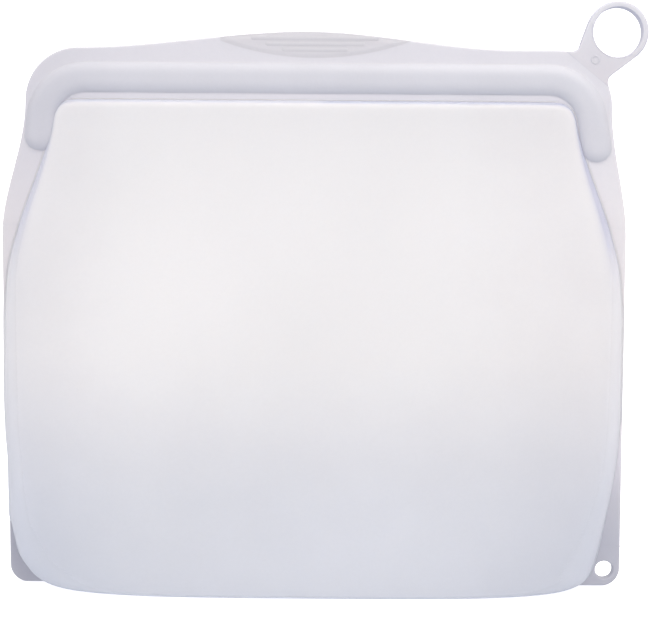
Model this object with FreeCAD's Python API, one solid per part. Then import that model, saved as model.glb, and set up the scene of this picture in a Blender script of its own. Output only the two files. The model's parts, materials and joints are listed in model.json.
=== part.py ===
"""Reusable silicone storage bag, standing upright with its press seal closed.

Frame: millimetres, +Z up, +X to the bag's right as seen from the front, front facing -Y.
The origin is the middle of the flat base, where the bag stands.

The bag is a front moulding and a back moulding, bonded along both sides and the bottom.
Above HINGE_Z the two walls are free of each other and carry the press seal.
"""
import FreeCAD, Part
import math
import os

V = FreeCAD.Vector

# ---- driving dimensions -------------------------------------------------
WALL = 1.5              # silicone wall
GAP = 0.15              # each lip's inner face stands this far from the seam plane
BODY_W = 109.0          # half width of the pouch body at its widest
BODY_WIDEST_Z = 72.0
FOOT_W = 89.0           # half width of the flat base
FOOT_CORNER_W = 99.5    # half width just above the rounded base corners
FOOT_CORNER_Z = 9.0     # height of the rounded base corners
SHOULDER_W = 92.0       # half width of the throat, just under the press seal
SHOULDER_LOW_Z = 110.0  # the body starts to narrow here
SHOULDER_HIGH_Z = 177.0
FOOT_D = 18.5           # half depth of the flat base
BELLY_D = 22.0          # half depth of the belly
BELLY_CURVE_Z = 40.0    # height over which the base rounds out to the belly
BELLY_TOP_Z = 50.0      # above this the body thins towards the throat
THROAT_TOP_D = 4.0      # half depth at the top of the throat
THROAT_TOP_Z = 175.0    # top of the throat
THROAT_CORNER_Z = 7.0   # rounding of the throat's top corners, down
THROAT_CORNER_W = 6.0   # and inward
FOOT_POWER = 4.5        # superellipse power of a level section across the base
BODY_POWER = 6.0        # and across the body, where the side walls are steep
BODY_POWER_Z = 60.0
DEPTH_POWER = 2.5       # superellipse power of a level section through the bag
SECTION_POINTS = 32
CROWN_STEPS = 3         # points along each side of the crown
SECTION_Z = [0.0, 1.6, 4.0, 9.0, 20.0, 40.0, 72.0, 104.0, 128.0, 146.0, 160.0, 169.0, THROAT_TOP_Z]

FOOT_SEAM_TOP = 4.0     # the bottom seam runs up the rounded corners to this height
HINGE_Z = 132.0         # the side seams end here, and the lips fold outward about it
HINGE_GAP = 0.3         # clearance between a lip and the pouch below it

EDGE_W = 112.0          # half width of the bonded edge
EDGE_TOP_W = 106.0      # distance of the lips' right side from the middle, near the top
EDGE_TOP_LEFT_W = 103.2     # and of their left side: the lips sit a little to the right
EDGE_TAPER_LOW_Z = 126.0
EDGE_FOOT_W = 111.9     # the same near the foot, right and left
EDGE_FOOT_LEFT_W = 110.8
EDGE_FOOT_R = 6.5       # lower corner radius
EDGE_CORNER_R = 20.0    # upper corner radius on the ring's side
LEFT_CORNER_R = 19.0    # and on the left
BACK_CORNER_R = 28.0    # the back lip is cut back behind the ring's neck, so that the neck can bend over it
LIP_Z = 193.6           # top edge of the lips at the sides
CROWN_Z = 199.7         # top edge of the lips at the crown
CROWN_X = -2.5          # middle of the crown
CROWN_LEFT = 82.0       # the crown's length to either side of its middle
CROWN_RIGHT = 74.0

BEAD_Z = 183.0          # middle of the press seal along the top
BEAD_R = 16.0           # bend radius of the seal's middle line
BEAD_RIGHT = (100.7, 159.2, 80.0)    # lower end of the right leg, x and z, and the turn above it
BEAD_LEFT = (-98.1, 162.0, 84.0)     # and of the left leg
BEAD_HALF = 5.3         # outside half width of the channel
BEAD_HEIGHT = 4.6       # outside height of the channel above the lip's inner face
GROOVE_HALF = 3.1       # inside half width and depth of the channel
GROOVE_DEPTH = 3.3
GROOVE_SIDE = 1.3
RIB_HALF = 2.3          # the rib that presses into the channel
RIB_HEIGHT = 2.7
RIB_SIDE = 1.2
RIB_SHORT = 2.6         # the rib's legs stop this far short of the channel's

PAD_TIP_X = 34.0        # the lens-shaped thumb pad
PAD_TIP_Z = 196.3
PAD_LOW_Z = 190.3
PAD_RAISE = 0.5
RIDGES = {              # height and half length of each ridge
    "grip_ridge_top": (197.2, 22.0),
    "grip_ridge_middle": (195.2, 17.0),
    "grip_ridge_low": (193.2, 11.0),
}
RIDGE_HALF = 0.4
RIDGE_RAISE = 0.5

RING_X = 107.5          # middle of the hanging ring
RING_Z = 200.2
RING_R = 10.9
RING_BORE_R = 8.8
RING_T = 4.0            # thickness, front to back
RING_ROUND = 0.7        # outside edges
RING_EASE = 0.4         # bore edges
NECK_HINGE_S = 16.0     # the neck bends this far from the ring's middle
NECK_LEFT = (93.0, 192.4)    # where the neck's edges reach the lip
NECK_RIGHT = (103.8, 183.6)
NECK_INSIDE = (92.0, 180.0)  # a point inside the lip, where the neck's outline closes
NECK_CLEAR = 0.3        # clearance round the neck's rounded end, so that it bends either way
MARK_S = 13.0           # small round mould mark on the neck
MARK_R = 1.65
MARK_RAISE = 0.3

TAB_TOP_Z = 15.0        # hanging tab at the lower right corner
TAB_HOLE_X = 106.5
TAB_HOLE_Z = 6.0
TAB_HOLE_R = 3.2

FAR = 400.0             # larger than the bag in every direction
LIP_MID_Y = -(GAP + WALL / 2)    # middle of the front lip's thickness


# ---- shared shapes --------------------------------------------------------
def smooth(t):
    t = min(1.0, max(0.0, t))
    return t * t * (3.0 - 2.0 * t)


def quarter(t):
    """Rises from 0 to 1 along a quarter of an ellipse, steeply at first."""
    t = min(1.0, max(0.0, t))
    return math.sqrt(1.0 - (1.0 - t) ** 2)


def half_width(z):
    w = FOOT_W + (FOOT_CORNER_W - FOOT_W) * quarter(z / FOOT_CORNER_Z)
    w += (BODY_W - FOOT_CORNER_W) * quarter((z - FOOT_CORNER_Z) / (BODY_WIDEST_Z - FOOT_CORNER_Z)) ** 1.6
    w -= (BODY_W - SHOULDER_W) * smooth((z - SHOULDER_LOW_Z) / (SHOULDER_HIGH_Z - SHOULDER_LOW_Z))
    corner = (z - (THROAT_TOP_Z - THROAT_CORNER_Z)) / THROAT_CORNER_Z
    return w - THROAT_CORNER_W * (1.0 - quarter(1.0 - corner))


def half_depth(z):
    d = FOOT_D + (BELLY_D - FOOT_D) * quarter(z / BELLY_CURVE_Z)
    return d - (BELLY_D - THROAT_TOP_D) * smooth((z - BELLY_TOP_Z) / (THROAT_TOP_Z - BELLY_TOP_Z))


def section(z, inset):
    """Level outline of the pouch at height z, drawn in by inset."""
    w, d = half_width(z) - inset, half_depth(z) - inset
    power = FOOT_POWER + (BODY_POWER - FOOT_POWER) * smooth(z / BODY_POWER_Z)
    points = []
    for k in range(SECTION_POINTS):
        t = 2.0 * math.pi * k / SECTION_POINTS
        c, s = math.cos(t), math.sin(t)
        points.append(V(math.copysign(w * abs(c) ** (2.0 / power), c),
                        math.copysign(d * abs(s) ** (2.0 / DEPTH_POWER), s), z))
    curve = Part.BSplineCurve()
    curve.interpolate(Points=points, PeriodicFlag=True)
    return Part.Wire([curve.toShape()])


def pouch_solid(inset):
    """The pouch's outside, or with an inset of one wall its inside."""
    heights = [min(max(z, inset), THROAT_TOP_Z - inset) for z in SECTION_Z]
    heights = sorted(set(heights))
    return Part.makeLoft([section(z, inset) for z in heights], True, False)


def slab(x0, x1, y0, y1, z0, z1):
    return Part.makeBox(x1 - x0, y1 - y0, z1 - z0, V(x0, y0, z0))


def at(x, z, y=0.0):
    return V(x, y, z)


def line(a, b):
    return Part.LineSegment(a, b).toShape()


def spline(points, start, end):
    """Smooth curve through the points, leaving along start and arriving along end."""
    curve = Part.BSplineCurve()
    curve.interpolate(Points=points, InitialTangent=start, FinalTangent=end)
    return curve.toShape()


def arc(centre_x, centre_z, radius, start, middle, end):
    """Arc in the seam plane, with its angles in degrees from +X towards +Z."""
    points = []
    for degrees in (start, middle, end):
        angle = math.radians(degrees)
        points.append(at(centre_x + radius * math.cos(angle), centre_z + radius * math.sin(angle)))
    return Part.Arc(*points).toShape()


def crown_z(x):
    reach = CROWN_LEFT if x < CROWN_X else CROWN_RIGHT
    return LIP_Z + (CROWN_Z - LIP_Z) * smooth(1.0 - abs(x - CROWN_X) / reach)


def edge_face(ring_corner_r):
    """Front outline of the edge and lips. The upper corner on the ring's side has its own radius."""
    left_x, left_z = EDGE_TOP_LEFT_W - LEFT_CORNER_R, LIP_Z - LEFT_CORNER_R
    ring_x, ring_z = EDGE_TOP_W - ring_corner_r, LIP_Z - ring_corner_r
    foot_z = EDGE_FOOT_R
    right_foot_x, left_foot_x = EDGE_FOOT_W - EDGE_FOOT_R, EDGE_FOOT_LEFT_W - EDGE_FOOT_R
    down, up, right = V(0, 0, -1), V(0, 0, 1), V(1, 0, 0)
    shares = [k / CROWN_STEPS for k in range(CROWN_STEPS)]
    crown = [at(CROWN_X - CROWN_LEFT * (1.0 - t), crown_z(CROWN_X - CROWN_LEFT * (1.0 - t))) for t in shares]
    crown += [at(CROWN_X + CROWN_RIGHT * t, crown_z(CROWN_X + CROWN_RIGHT * t)) for t in shares + [1.0]]
    edges = [
        line(at(-left_x, LIP_Z), crown[0]),
        spline(crown, right, right),
        line(crown[-1], at(ring_x, LIP_Z)),
        arc(ring_x, ring_z, ring_corner_r, 90, 45, 0),
        spline([at(EDGE_TOP_W, ring_z), at(EDGE_W, EDGE_TAPER_LOW_Z)], down, down),
        spline([at(EDGE_W, EDGE_TAPER_LOW_Z), at(EDGE_FOOT_W, foot_z)], down, down),
        arc(right_foot_x, foot_z, EDGE_FOOT_R, 0, -45, -90),
        line(at(right_foot_x, 0), at(-left_foot_x, 0)),
        arc(-left_foot_x, foot_z, EDGE_FOOT_R, -90, -135, -180),
        spline([at(-EDGE_FOOT_LEFT_W, foot_z), at(-EDGE_W, EDGE_TAPER_LOW_Z)], up, up),
        spline([at(-EDGE_W, EDGE_TAPER_LOW_Z), at(-EDGE_TOP_LEFT_W, left_z)], up, up),
        arc(-left_x, left_z, LEFT_CORNER_R, 180, 135, 90),
    ]
    return Part.Face(Part.Wire(edges))


def plate(face, y0, y1):
    """A face drawn in the seam plane, made into a plate from y0 to y1."""
    moved = face.copy()
    moved.translate(V(0, y0, 0))
    return moved.extrude(V(0, y1 - y0, 0))


# ---- press seal -------------------------------------------------------------
def seal_points(leg, short):
    """Key points of the seal's middle line on one side: leg end, leg top, arc middle, arc start."""
    side = math.copysign(1.0, leg[0])
    end_x, end_z, turn = abs(leg[0]), leg[1], math.radians(leg[2])
    centre_z = BEAD_Z - BEAD_R
    leg_top_z = centre_z + BEAD_R * math.cos(turn)
    leg_top_x = end_x - (leg_top_z - end_z) * math.cos(turn) / math.sin(turn)
    centre_x = leg_top_x - BEAD_R * math.sin(turn)
    half = turn / 2
    points = ((end_x - short * math.cos(turn), end_z + short * math.sin(turn)),
              (leg_top_x, leg_top_z),
              (centre_x + BEAD_R * math.sin(half), centre_z + BEAD_R * math.cos(half)),
              (centre_x, BEAD_Z))
    return [at(side * x, z) for x, z in points]


def seal_path(short):
    left_end, left_top, left_middle, left_start = seal_points(BEAD_LEFT, short)
    right_end, right_top, right_middle, right_start = seal_points(BEAD_RIGHT, short)
    return Part.Wire([
        line(left_end, left_top),
        Part.Arc(left_top, left_middle, left_start).toShape(),
        line(left_start, right_start),
        Part.Arc(right_start, right_middle, right_top).toShape(),
        line(right_top, right_end),
    ])


def rounded_profile(origin, across, out, half, side, height):
    """Closed outline: flat foot, short sides and a round top, drawn along two directions."""
    def p(u, v):
        return origin + across * u + out * v
    return Part.Wire([
        line(p(-half, 0), p(half, 0)),
        line(p(half, 0), p(half, side)),
        Part.Arc(p(half, side), p(0, height), p(-half, side)).toShape(),
        line(p(-half, side), p(-half, 0)),
    ])


def half_profile(origin, across, out, half, side, height):
    """One side of the rounded outline, for turning about its middle line."""
    def p(u, v):
        return origin + across * u + out * v
    rise = height - side
    radius = (half * half + rise * rise) / (2.0 * rise)
    sweep = math.asin(half / radius) / 2
    middle = p(radius * math.sin(sweep), height - radius * (1.0 - math.cos(sweep)))
    return Part.Face(Part.Wire([
        line(p(0, 0), p(half, 0)),
        line(p(half, 0), p(half, side)),
        Part.Arc(p(half, side), middle, p(0, height)).toShape(),
        line(p(0, height), p(0, 0)),
    ]))


def seal_solid(short, foot_y, half, side, height):
    """A rounded bar along the seal's path, standing out to the front from foot_y, with round ends."""
    out = V(0, -1, 0)
    ends = [seal_points(leg, short)[0] + V(0, foot_y, 0) for leg in (BEAD_LEFT, BEAD_RIGHT)]
    turn = math.radians(BEAD_LEFT[2])
    across_leg = V(math.sin(turn), 0, -math.cos(turn))
    path = seal_path(short)
    path.translate(V(0, foot_y, 0))
    profile = rounded_profile(ends[0], across_leg, out, half, side, height)
    bar = path.makePipeShell([profile], True, True)
    caps = [half_profile(end, V(1, 0, 0), out, half, side, height).revolve(end, out, 360) for end in ends]
    return bar.fuse(caps).removeSplitter()


# ---- ring and neck ------------------------------------------------------------
def neck_frame():
    """Direction from the lip's corner to the ring, the direction across it, and the bend's middle."""
    corner = V(EDGE_TOP_W - EDGE_CORNER_R, 0, LIP_Z - EDGE_CORNER_R)
    ring = at(RING_X, RING_Z)
    along = (ring - corner).normalize()
    across = V(along.z, 0, -along.x)
    return along, across, ring - along * NECK_HINGE_S


def tangent_point(px, pz, side):
    """Where a line from (px, pz) touches the ring's outside, on the given side (+1 or -1)."""
    dx, dz = px - RING_X, pz - RING_Z
    distance = math.hypot(dx, dz)
    angle = math.atan2(dz, dx) + side * math.acos(RING_R / distance)
    return at(RING_X + RING_R * math.cos(angle), RING_Z + RING_R * math.sin(angle))


def neck_face():
    left, right = at(*NECK_LEFT), at(*NECK_RIGHT)
    ring_left = tangent_point(*NECK_LEFT, -1)
    ring_right = tangent_point(*NECK_RIGHT, 1)
    corners = [left, ring_left, at(RING_X, RING_Z), ring_right, right, at(*NECK_INSIDE), left]
    return Part.Face(Part.makePolygon(corners))


def half_space_block(origin, normal):
    """A big block on the side of a plane that normal points to; the normal has no Y part."""
    block = Part.makeBox(FAR, FAR, FAR, V(0, -FAR / 2, -FAR / 2))
    angle = math.degrees(math.atan2(normal.z, normal.x))
    block.rotate(V(0, 0, 0), V(0, 1, 0), -angle)
    block.translate(origin)
    return block


def hang_ring():
    def disc(radius):
        return Part.makeCylinder(radius, RING_T, V(RING_X, LIP_MID_Y - RING_T / 2, RING_Z), V(0, 1, 0))
    outer = disc(RING_R)
    outer = outer.makeFillet(RING_ROUND, [e for e in outer.Edges if isinstance(e.Curve, Part.Circle)])
    ring = outer.cut(disc(RING_BORE_R))
    bore_edges = [e for e in ring.Edges
                  if isinstance(e.Curve, Part.Circle) and abs(e.Curve.Radius - RING_BORE_R) < 0.01]
    return ring.makeFillet(RING_EASE, bore_edges)


def neck_parts():
    """The outer neck, the neck's whole web, and what the front lip loses to let the neck bend."""
    along, across, bend = neck_frame()
    web = plate(neck_face(), LIP_MID_Y - WALL / 2, LIP_MID_Y + WALL / 2)
    beyond = half_space_block(bend, along)
    outer = web.common(beyond)
    bend_line = [v.Point for v in outer.Vertexes if abs((v.Point - bend).dot(along)) < 1e-6]
    reach = [(p - bend).dot(across) for p in bend_line]
    start = bend + across * min(reach) + V(0, LIP_MID_Y, 0)
    length = max(reach) - min(reach)
    knuckle = Part.makeCylinder(WALL / 2, length, start, across)
    socket = Part.makeCylinder(WALL / 2 + NECK_CLEAR, length + 2.0, start - across, across)
    ring_body = Part.makeCylinder(RING_R, FAR, V(RING_X, -FAR / 2, RING_Z), V(0, 1, 0))
    ring_edge = Part.makeCylinder(RING_R - RING_ROUND, FAR, V(RING_X, -FAR / 2, RING_Z), V(0, 1, 0))
    core = hang_ring().fuse(ring_edge)
    mark_at = at(RING_X, RING_Z) - along * MARK_S + V(0, LIP_MID_Y - WALL / 2, 0)
    mark = Part.makeCylinder(MARK_R, MARK_RAISE, mark_at, V(0, -1, 0)).cut(ring_body)
    outer = outer.fuse([knuckle, mark]).cut(core).removeSplitter()
    return outer, web, beyond.fuse(socket)


# ---- sub-parts ----------------------------------------------------------------
def panels(outside, shell):
    """Everything bonded together below the bend: walls, seams and the hanging tab."""
    below = slab(-FAR, FAR, -FAR, FAR, -FAR, HINGE_Z)
    half = WALL + GAP
    low_shell = shell.common(below)
    strip = low_shell.common(slab(-FAR, FAR, -half, half, -1.0, FOOT_SEAM_TOP))
    walls = low_shell.cut(strip)
    edge = plate(edge_face(EDGE_CORNER_R), -half, half).cut(outside).common(below)
    right = edge.common(slab(0, FAR, -FAR, FAR, -FAR, FAR))
    tab_zone = slab(0, FAR, -FAR, FAR, -FAR, TAB_TOP_Z)
    hole = Part.makeCylinder(TAB_HOLE_R, 4 * half, V(TAB_HOLE_X, -2 * half, TAB_HOLE_Z), V(0, 1, 0))
    return {
        "front_panel": walls.common(slab(-FAR, FAR, -FAR, 0, -FAR, FAR)),
        "back_panel": walls.common(slab(-FAR, FAR, 0, FAR, -FAR, FAR)),
        "bottom_seam": strip,
        "left_side_seam": edge.common(slab(-FAR, 0, -FAR, FAR, -FAR, FAR)),
        "right_side_seam": right.cut(tab_zone),
        "hanging_tab": right.common(tab_zone).cut(hole),
    }


def lips(outside, shell):
    """The two free lips above the bend, with the press seal, thumb pad and ring."""
    above = slab(-FAR, FAR, -FAR, FAR, HINGE_Z + HINGE_GAP, FAR)
    throat = shell.common(above)
    channel_foot_y = -GAP
    channel_body = seal_solid(0.0, channel_foot_y, BEAD_HALF, GROOVE_SIDE, BEAD_HEIGHT)
    groove = seal_solid(0.0, channel_foot_y, GROOVE_HALF, GROOVE_SIDE, GROOVE_DEPTH)
    neck, neck_web, neck_cutter = neck_parts()
    flange = edge_face(EDGE_CORNER_R)
    front_plate = plate(flange, -GAP - WALL, -GAP)
    front_plate = front_plate.fuse(neck_web).cut(neck_cutter).cut(outside).cut(channel_body)
    front_plate = front_plate.common(above).removeSplitter()
    back_plate = plate(edge_face(BACK_CORNER_R), GAP, GAP + WALL).cut(outside).common(above)
    rib = seal_solid(RIB_SHORT, GAP, RIB_HALF, RIB_SIDE + 2 * GAP, RIB_HEIGHT + 2 * GAP)
    front_face_y = -GAP - WALL
    parts = {
        "front_throat": throat.common(slab(-FAR, FAR, -FAR, -GAP, -FAR, FAR)).cut(channel_body),
        "back_throat": throat.common(slab(-FAR, FAR, GAP, FAR, -FAR, FAR)),
        "front_lip": front_plate,
        "back_lip": back_plate,
        "seal_channel": channel_body.cut(groove),
        "seal_rib": rib,
        "thumb_pad": thumb_pad(flange, front_face_y),
        "hang_ring": hang_ring(),
        "ring_neck": neck,
    }
    for name, (z, half) in RIDGES.items():
        parts[name] = grip_ridge(z, half, front_face_y - PAD_RAISE)
    return parts


def thumb_pad(flange, face_y):
    drop = PAD_TIP_Z - PAD_LOW_Z
    radius = (PAD_TIP_X ** 2 + drop ** 2) / (2.0 * drop)
    disc = Part.makeCylinder(radius, FAR, V(0, -FAR / 2, PAD_LOW_Z + radius), V(0, 1, 0))
    return plate(flange, face_y - PAD_RAISE, face_y).common(disc)


def grip_ridge(z, half, face_y):
    bar = slab(-half, half, face_y - RIDGE_RAISE, face_y, z - RIDGE_HALF, z + RIDGE_HALF)
    ends = [Part.makeCylinder(RIDGE_HALF, RIDGE_RAISE, V(x, face_y - RIDGE_RAISE, z), V(0, 1, 0))
            for x in (-half, half)]
    return bar.fuse(ends).removeSplitter()


def main():
    outside = pouch_solid(0.0)
    shell = outside.cut(pouch_solid(WALL))
    parts = panels(outside, shell)
    parts.update(lips(outside, shell))
    os.makedirs("parts", exist_ok=True)
    for name, shape in parts.items():
        if len(shape.Solids) != 1:
            raise RuntimeError(f"{name} is not one solid")
        solid = shape.Solids[0]
        solid.exportStep(f"parts/{name}.step")
        print(f"{name:17s} valid {solid.isValid()}  volume {solid.Volume:9.1f} mm3")
    along, across, bend = neck_frame()
    print(f"lip folds at y {half_depth(HINGE_Z):.3f}, z {HINGE_Z}; neck bends at {bend} about {across}")


main()
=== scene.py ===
"""Looks for the reusable silicone bag: soft moulded walls, lips, press seal, ring and bonded edges.

Every piece is built in millimetres in the CAD frame and scaled to metres at the end. Front faces -Y.
"""
import json
import math

import bmesh
import bpy
import numpy as np
from mathutils import Matrix, Vector


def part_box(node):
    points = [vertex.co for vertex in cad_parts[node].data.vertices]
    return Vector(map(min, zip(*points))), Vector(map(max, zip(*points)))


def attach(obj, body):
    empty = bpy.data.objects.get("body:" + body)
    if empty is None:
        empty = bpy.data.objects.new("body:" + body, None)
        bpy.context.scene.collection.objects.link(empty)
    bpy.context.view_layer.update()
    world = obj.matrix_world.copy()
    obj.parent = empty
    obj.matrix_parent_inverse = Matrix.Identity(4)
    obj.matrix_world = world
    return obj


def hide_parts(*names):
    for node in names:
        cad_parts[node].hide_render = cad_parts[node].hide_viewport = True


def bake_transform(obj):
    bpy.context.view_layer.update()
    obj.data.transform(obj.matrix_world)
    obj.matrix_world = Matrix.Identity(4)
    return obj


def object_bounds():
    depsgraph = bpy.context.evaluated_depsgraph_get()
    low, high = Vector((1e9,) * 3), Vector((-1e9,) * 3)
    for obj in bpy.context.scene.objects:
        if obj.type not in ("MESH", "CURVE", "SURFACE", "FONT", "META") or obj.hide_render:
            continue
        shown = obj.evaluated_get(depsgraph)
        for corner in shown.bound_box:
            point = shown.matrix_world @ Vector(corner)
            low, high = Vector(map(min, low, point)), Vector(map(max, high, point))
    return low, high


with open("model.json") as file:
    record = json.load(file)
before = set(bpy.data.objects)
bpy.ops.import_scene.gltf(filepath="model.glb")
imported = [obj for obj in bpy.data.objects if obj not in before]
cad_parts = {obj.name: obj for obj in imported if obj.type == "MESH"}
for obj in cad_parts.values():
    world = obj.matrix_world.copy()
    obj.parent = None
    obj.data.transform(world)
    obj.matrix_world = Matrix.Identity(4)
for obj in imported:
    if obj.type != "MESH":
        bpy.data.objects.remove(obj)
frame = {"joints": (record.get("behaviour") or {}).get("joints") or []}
cad_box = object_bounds()
MM = 0.001


def node_box(node):
    """Lowest and highest corner of a CAD node, in millimetres."""
    low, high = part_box(node)
    return low / MM, high / MM


# ---- sizes worked out from the frame -----------------------------------------------------
joints = {j["name"]: j for j in frame["joints"]}
hinge_z = joints["front_lip_fold"]["pos_m"][2] / MM
low, high = node_box("front_lip")
FACE = -low.y                       # a lip's outer face, from the seam plane
INNER = -high.y                     # and its inner face
CROWN_TOP = high.z
THROAT_TOP = node_box("front_throat")[1].z
low, high = node_box("hang_ring")
RING = (low + high) / 2
RING_R = (high.x - low.x) / 2
RING_HALF = (high.y - low.y) / 2
EDGE_W = -node_box("left_side_seam")[0].x

# ---- sizes that the moulding is designed to ----------------------------------------------
WALL, LIP_TOP, RING_BORE = 1.5, 193.6, 8.8
FOOT_W, FOOT_CORNER_W, FOOT_CORNER_Z = 91.0, 101.5, 7.0
BODY_W, BODY_WIDEST_Z = 109.0, 72.0
SHOULDER_W, SHOULDER_LOW_Z, SHOULDER_HIGH_Z = 92.0, 110.0, 177.0
FOOT_D, BELLY_D, BELLY_CURVE_Z, BELLY_TOP_Z = 19.6, 22.0, 40.0, 50.0
THROAT_TOP_D, THROAT_CORNER_Z, THROAT_CORNER_W = 4.0, 7.0, 6.0
EDGE_TAPER_LOW_Z, EDGE_FOOT_R = 126.0, 6.5
EDGE_TOP = {1: 106.0, -1: 103.2}             # the lips' right and left sides near the top
EDGE_FOOT = {1: 112.2, -1: 110.3}            # and the bonded edges near the foot
CORNER_R, LEFT_CORNER_R, BACK_CORNER_R = 20.0, 19.0, 28.0
CROWN_X, CROWN_REACH = -2.5, {1: 74.0, -1: 82.0}
SEAL_Z, SEAL_R = 183.0, 16.0
SEAL_LEG = {1: (100.7, 159.2, 80.0), -1: (98.1, 162.0, 84.0)}    # each leg's end, x and z, and its turn
BEAD_HALF, BEAD_HEIGHT = 5.5, 1.9            # half width, and height above the lip's face
GROOVE_HALF, GROOVE_DEPTH = 3.3, 3.0
RIB_HALF, RIB_HEIGHT, RIB_SHORT = 2.3, 2.7, 2.6
TAB_TOP, TAB_X, TAB_Z, TAB_R = 15.0, 106.5, 6.0, 3.2      # the last three are its hole's
RING_ROUND, RING_EASE = 0.7, 0.4             # the ring's outside edges, and its bore's
MARK_REACH, MARK_R, MARK_BEAD = 12.6, 1.3, 0.42      # the mark, from the ring's middle, and its bead
PAD_X, PAD_TIP_Z, PAD_LOW_Z, PAD_RAISE = 34.0, 196.3, 190.3, 0.2
RIDGES = {"grip_ridge_top": (197.2, 22.0),           # height and half length
          "grip_ridge_middle": (195.2, 17.0),
          "grip_ridge_low": (193.2, 11.0)}
NECK_LEFT, NECK_RIGHT = Vector((93.0, 192.4)), Vector((103.8, 183.6))

# ---- soft shapes that only the looks need ------------------------------------------------
BELLY_EXTRA = 1.5          # how far the pouch's sides bulge past the plain section
LEFT_EXTRA = 3.4           # how much fuller the left side is near the foot
SINK = 0.2                 # how far a wall's free edge is buried in the piece that it meets
EDGE_LEAST = 1.4           # least width of bonded edge left beside the wall
FOOT_POWER = 3.7           # steepness of the side walls at the foot
SIDE_POWER = 12.0          # and at the body's middle
THROAT_POWER = 30.0        # and at the throat
DEPTH_POWER = 2.5          # roundness of the walls from front to back
FOOT_ROUND = 2.2           # rounding round the foot
BASE_ARCH = 0.6            # how far the base is hollow at its middle
TOP_ROUND = 2.8            # rounding of the throat's top edge
TOP_FILLET = 0.55          # and the fillet above it, down to the lip
FILLET = 1.1               # where the walls meet the bonded edge
EDGE_ROUND = 0.6           # outside edges of the lips
SEAM_ROUND = 0.9           # outside edges of the bonded edges
HOLE_EASE = 0.6            # edges of the tab's hole
SEAM_SINK = 1.2            # how far the bonded edges reach in under the walls' fillets
SEAM_EASE = 0.7            # how much thinner they are at the floor
WELD_RISE = 0.34           # height of the bottom seam's rounded weld
WELD_SINK = 0.9            # and how far it is buried in the walls
TAB_SINK = 0.9             # and the tab under the foot's corner
LIP_SINK = 0.5             # and the lips under the throat's sides
TOP_SINK = 0.8             # and under its top
HEM_START = hinge_z - 1.0  # the lips peel away over this height
HEM_END = hinge_z + 15.0


def smooth(t):
    t = min(1.0, max(0.0, t))
    return t * t * (3.0 - 2.0 * t)


def quarter(t):
    """Rises from 0 to 1 along a quarter of an ellipse, steeply at first."""
    t = min(1.0, max(0.0, t))
    return math.sqrt(1.0 - (1.0 - t) ** 2)


def lerp(a, b, t):
    return a + (b - a) * t


def spread(a, b, count):
    return [lerp(a, b, k / (count - 1)) for k in range(count)]


def half_width(z, side=1):
    """Half width of the walls by height; the left side is fuller near the foot."""
    w = FOOT_W + (FOOT_CORNER_W - FOOT_W) * quarter(z / FOOT_CORNER_Z)
    w += (BODY_W - FOOT_CORNER_W) * quarter((z - FOOT_CORNER_Z) / (BODY_WIDEST_Z - FOOT_CORNER_Z)) ** 1.6
    w -= (BODY_W - SHOULDER_W) * smooth((z - SHOULDER_LOW_Z) / (SHOULDER_HIGH_Z - SHOULDER_LOW_Z))
    w += BELLY_EXTRA * smooth((z - 20) / 35) * (1.0 - smooth((z - 95) / 35))
    corner = (z - (THROAT_TOP - THROAT_CORNER_Z)) / THROAT_CORNER_Z
    w -= THROAT_CORNER_W * (1.0 - quarter(1.0 - corner))
    if side < 0 and z < 100.0:
        fuller = w + LEFT_EXTRA * smooth(z / 12.0) * (1.0 - smooth((z - 50.0) / 40.0))
        w = max(w, min(fuller, edge_x(z, -1) - EDGE_LEAST))
    return w


def half_depth(z):
    """How far the walls stand out from the seam plane at the middle, by height."""
    d = FOOT_D + (BELLY_D - FOOT_D) * quarter(z / BELLY_CURVE_Z)
    return d - (BELLY_D - THROAT_TOP_D) * smooth((z - BELLY_TOP_Z) / (THROAT_TOP - BELLY_TOP_Z))


def side_power(z):
    """Steepness of the side walls by height."""
    return lerp(lerp(FOOT_POWER, SIDE_POWER, smooth(z / 45.0)), THROAT_POWER, smooth((z - 100.0) / 45.0))


def wall_foot(z, d):
    """Where a level section of a wall comes down to the bonded edge, as a share of its half width,
    and the radius of the fillet there."""
    radius = min(FILLET, max(0.02, 0.45 * (d - FACE)))
    reach = min(0.995, (FACE + radius) / max(d, FACE + radius + 0.001))
    return (1.0 - reach ** DEPTH_POWER) ** (1.0 / side_power(z)), radius


def wall_width(z, w, d):
    """Half width of the whole section: in the throat it is the wall's foot that keeps to the outline."""
    foot, _ = wall_foot(z, d)
    return w / foot ** smooth((z - 118.0) / 18.0)


def wall_edge(z, side=1):
    """Where the wall's fillet runs out on the bonded edge or lip."""
    w, d = half_width(z, side), half_depth(z)
    foot, radius = wall_foot(z, d)
    return wall_width(z, w, d) * foot + radius


def edge_x(z, side):
    """Outside of the bonded edge and of the lips' sides, up to the upper corner."""
    corner_r = CORNER_R if side > 0 else LEFT_CORNER_R
    taper = smooth((z - EDGE_TAPER_LOW_Z) / (LIP_TOP - corner_r - EDGE_TAPER_LOW_Z))
    low_taper = smooth((EDGE_TAPER_LOW_Z - z) / EDGE_TAPER_LOW_Z)
    x = EDGE_W - (EDGE_W - EDGE_TOP[side]) * taper - (EDGE_W - EDGE_FOOT[side]) * low_taper
    if z < EDGE_FOOT_R:
        x -= EDGE_FOOT_R * (1.0 - quarter(z / EDGE_FOOT_R))
    return x


def lip_top(x):
    """Height of the lips' top edge, with its low crown."""
    reach = CROWN_REACH[1 if x > CROWN_X else -1]
    return LIP_TOP + (CROWN_TOP - LIP_TOP) * smooth(1.0 - abs(x - CROWN_X) / reach)


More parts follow.
